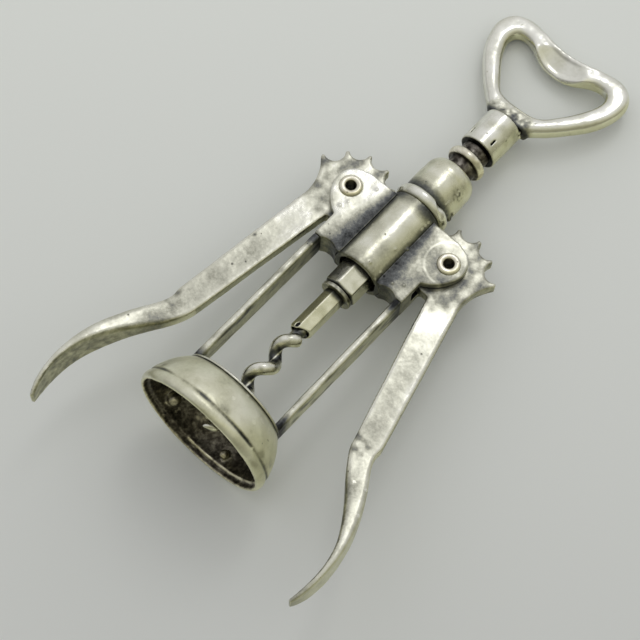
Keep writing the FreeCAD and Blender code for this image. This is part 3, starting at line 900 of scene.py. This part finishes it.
makeCasting("worm", "screw", wormLook, stainAndShadeWorm)

pinLook = {"cell": 0.12, "soften": 2, "wobble": 0.0, "grain": 0.0, "tone": 0.9}
makeCasting("worm_pin", "screw", pinLook, lambda spot, normal: pinLook["tone"])

# handle
ferruleLook = {
    "cell": 0.22,
    "soften": 3,
    "wobble": 0.16,
    "grain": 0.03,
    "tone": 0.10,
    "clouds": 0.22,
    "boreRadius": 5.6,
    "topDarkening": 0.68,
    "edgeReach": 1.4,
    "edgeDarkening": 0.5,
    "mouthReach": 0.7,
    "mouthStain": 0.4,
    "notchRadius": 6.05,
    "notchHeight": 5.0,
    "notchShade": 0.9,
    "solder": (((6.1, 136.7, 0.4), 1.0), ((5.5, 136.5, 1.8), 0.8)),
}
ferruleLow, ferruleHigh = boxOf("ferrule")


def stainAndShadeFerrule(spot, normal):
    look = ferruleLook
    across = math.hypot(spot.x, spot.z)
    # painted shade inside the bore
    if across < look["boreRadius"] and spot.y < ferruleHigh.y - 0.6:
        return 1.0
    # painted shade on the top face, under the loop
    if normal.y > 0.6:
        return look["topDarkening"] + 0.3 * cloud(spot, 1.3, 3.0)
    edge = look["edgeDarkening"] * near(spot.y, ferruleHigh.y, look["edgeReach"])
    mouth = look["mouthStain"] * near(spot.y, ferruleLow.y, look["mouthReach"])
    # painted shade in the notch
    inNotch = across < look["notchRadius"] and spot.y < ferruleLow.y + look["notchHeight"]
    notch = look["notchShade"] if inNotch else 0.0
    return max(edge, mouth, notch, look["tone"] + look["clouds"] * cloud(spot, 3.4, 2.0))


makeCasting("ferrule", "screw", ferruleLook, stainAndShadeFerrule, beads=ferruleLook["solder"])

loopLook = {
    "cell": 0.38,
    "soften": 15,
    "wobble": 0.26,
    "grain": 0.05,
    "tone": 0.04,
    "clouds": 0.16,
    "seamReach": 2.8,
    "seamStain": 0.85,
    "underShade": 0.30,
    "insideShade": 0.17,
    "solderTo": 7.0,
    "solderStain": 0.42,
    "solderClouds": 0.40,
    "solderSpecks": 0.20,
    "crumble": 0.07,
    "rim": 0.45,
    "rimInner": 0.680,  # shares of the loop's length
    "rimOuter": 0.922,
    "rimTo": 0.52,
    "solder": (
        ((-2.5, 137.6, 2.6), 0.9),
        ((2.8, 137.4, 2.7), 0.8),
        ((0.6, 137.2, 3.2), 0.8),
        ((6.8, 137.5, 0.4), 1.6),
        ((-6.4, 138.0, 0.6), 1.3),
    ),
}
loopLow, loopHigh = boxOf("cap_lifter")


def solderAt(spot):
    height = 1.0 - rise(spot.y, loopLow.y + 2.0, loopLow.y + loopLook["solderTo"])
    return height * (1.0 - rise(abs(spot.x), 6.0, 9.0))


def stainAndShadeLoop(spot, normal):
    look = loopLook
    seam = look["seamStain"] * near(spot.y, loopLow.y, look["seamReach"])
    crumbs = look["solderStain"] + look["solderClouds"] * cloud(spot, 1.9, 1.0)
    crumbs += look["solderSpecks"] * cloud(spot, 0.7, 4.0)
    # painted shade on faces pointing down and away
    under = look["underShade"] if normal.z < -0.4 else 0.0
    inside = look["insideShade"] * rise(-normal.z, -0.55, 0.0)
    baseTone = look["tone"] + look["clouds"] * cloud(spot, 6.0, 5.0)
    return max(seam, solderAt(spot) * crumbs, under, inside, baseTone)


# raised edges of the lifter's lip
def rimAt(spot, normal):
    look = loopLook
    width = loopHigh.x
    length = loopHigh.y - loopLow.y
    bow = (spot.x / width) ** 2
    inner = loopLow.y + length * (look["rimInner"] + 0.50 * bow)
    outer = loopLow.y + length * (look["rimOuter"] + 0.30 * bow)
    edges = max(near(spot.y, inner + 1.0, 1.3), near(spot.y, outer - 1.2, 1.5))
    ends = 1.0 - rise(abs(spot.x), 0.36 * width, look["rimTo"] * width)
    return look["rim"] * edges * ends * rise(normal.z, 0.3, 0.8)


def reliefLoop(spot, normal):
    crumbs = cloud(spot, 1.6, 3.0) + 0.5 * cloud(spot, 0.7)
    return rimAt(spot, normal) + loopLook["crumble"] * solderAt(spot) * crumbs


makeCasting("cap_lifter", "screw", loopLook, stainAndShadeLoop, reliefAt=reliefLoop, beads=loopLook["solder"])

# floor, light and camera
studio = {
    # the floor's colour fades from near to far: a painted light falloff on the card
    "floorFar": (0.945, 0.97, 0.93),
    "floorNear": (0.795, 0.81, 0.785),
    "floorFadeWay": (-0.665, 0.746, 0.0),
    "floorFadeFrom": -60.0,  # mm along that way
    "floorFadeTo": 150.0,
    "floorSize": 16.0,  # m
    "floorGap": 0.1,  # mm below the bell's rim
    "rimRest": 1.6,  # the bell's rim and the handle's far end rest on the floor
    "handleRest": 3.0,
    "cameraPlace": (127.78, -114.67, 474.25),  # mm
    "cameraRight": (0.746, 0.6651, 0.0323),
    "cameraUp": (-0.6198, 0.6759, 0.3988),
    "lens": 100,
    "sensor": 36,
    "skyCentre": (-0.30, 0.45, 0.84),
    "skyLevel": 1.17,
    "skyTones": (  # closeness to the brightest part of the sky, colour
        (0.00, (0.22, 0.22, 0.215)),
        (0.50, (0.26, 0.26, 0.25)),
        (0.66, (0.42, 0.42, 0.41)),
        (0.80, (0.56, 0.56, 0.55)),
        (0.93, (0.62, 0.62, 0.61)),
        (1.0, (0.68, 0.68, 0.685)),
    ),
    "windowBox": {
        "target": (0, 85, 0),  # mm
        "toward": (-0.16, 0.47, 0.868),
        "away": 1.3,  # m
        "size": (0.29, 0.44),
        "power": 1.0,
    },
}


def makeFloor():
    rimY = studio["rimRest"]
    farY = loopHigh.y - studio["handleRest"]
    slope = (loopLow.z - bellLow.z) / (farY - rimY)
    half = studio["floorSize"] / 2
    mesh = bpy.data.meshes.new("floor")
    build = bmesh.new()
    corners = []
    for x, y in ((-half, -half), (half, -half), (half, half), (-half, half)):
        height = (bellLow.z - studio["floorGap"]) * mm + (y - rimY * mm) * slope
        corners.append(build.verts.new((x, y, height)))
    build.faces.new(corners)
    build.to_mesh(mesh)
    build.free()
    floor = bpy.data.objects.new("floor", mesh)
    bpy.context.scene.collection.objects.link(floor)
    material = bpy.data.materials.new("paleCardWithPaintedFalloff")
    material.use_nodes = True
    tree = material.node_tree
    shader = tree.nodes["Principled BSDF"]
    shader.inputs["Roughness"].default_value = 0.8
    place = addNode(tree, "ShaderNodeTexCoord", (-900, 0))
    along = addNode(tree, "ShaderNodeVectorMath", (-700, 0), operation="DOT_PRODUCT")
    along.inputs[1].default_value = studio["floorFadeWay"]
    tree.links.new(place.outputs["Object"], along.inputs[0])
    share = addNode(tree, "ShaderNodeMapRange", (-500, 0))
    share.inputs["From Min"].default_value = studio["floorFadeFrom"] * mm
    share.inputs["From Max"].default_value = studio["floorFadeTo"] * mm
    tree.links.new(along.outputs["Value"], share.inputs["Value"])
    tones = addNode(tree, "ShaderNodeValToRGB", (-300, 0))
    fillRamp(tones, ((0.0, studio["floorNear"]), (1.0, studio["floorFar"])))
    tree.links.new(share.outputs[0], tones.inputs["Fac"])
    tree.links.new(tones.outputs["Color"], shader.inputs["Base Color"])
    mesh.materials.append(material)


def addSoftbox(name, look):
    lamp = bpy.data.lights.new(name, "AREA")
    lamp.shape = "RECTANGLE"
    lamp.size, lamp.size_y = look["size"]
    lamp.energy = look["power"]
    target = Vector(look["target"]) * mm
    toward = Vector(look["toward"]).normalized()
    holder = bpy.data.objects.new(name, lamp)
    holder.location = target + toward * look["away"]
    holder.rotation_euler = (-toward).to_track_quat("-Z", "Y").to_euler()
    bpy.context.scene.collection.objects.link(holder)


def makeSky():
    world = bpy.data.worlds.new("studioRoom")
    bpy.context.scene.world = world
    world.use_nodes = True
    tree = world.node_tree
    tree.nodes.clear()
    link = tree.links.new
    out = addNode(tree, "ShaderNodeOutputWorld", (600, 0))
    sky = addNode(tree, "ShaderNodeBackground", (400, 0))
    sky.inputs["Strength"].default_value = studio["skyLevel"]
    place = addNode(tree, "ShaderNodeTexCoord", (-600, 0))
    closeness = addNode(tree, "ShaderNodeVectorMath", (-400, 0), operation="DOT_PRODUCT")
    closeness.inputs[1].default_value = Vector(studio["skyCentre"]).normalized()
    link(place.outputs["Generated"], closeness.inputs[0])
    share = addNode(tree, "ShaderNodeMapRange", (-200, 0))
    share.inputs["From Min"].default_value = -1
    link(closeness.outputs["Value"], share.inputs["Value"])
    tones = addNode(tree, "ShaderNodeValToRGB", (0, 0))
    fillRamp(tones, studio["skyTones"])
    link(share.outputs[0], tones.inputs["Fac"])
    link(tones.outputs["Color"], sky.inputs["Color"])
    link(sky.outputs[0], out.inputs[0])


def makeCamera():
    right = Vector(studio["cameraRight"]).normalized()
    back = right.cross(Vector(studio["cameraUp"])).normalized()
    up = back.cross(right)
    turn = Matrix((right, up, back)).transposed().to_4x4()
    camera = bpy.data.cameras.new("camera")
    camera.lens = studio["lens"]
    camera.sensor_width = studio["sensor"]
    camera.clip_start = 0.01
    holder = bpy.data.objects.new("camera", camera)
    holder.matrix_world = Matrix.Translation(Vector(studio["cameraPlace"]) * mm) @ turn
    bpy.context.scene.collection.objects.link(holder)
    bpy.context.scene.camera = holder


makeFloor()
makeSky()
addSoftbox("windowBox", studio["windowBox"])
makeCamera()
bpy.context.scene.view_settings.view_transform = "Standard"
print("studio made")
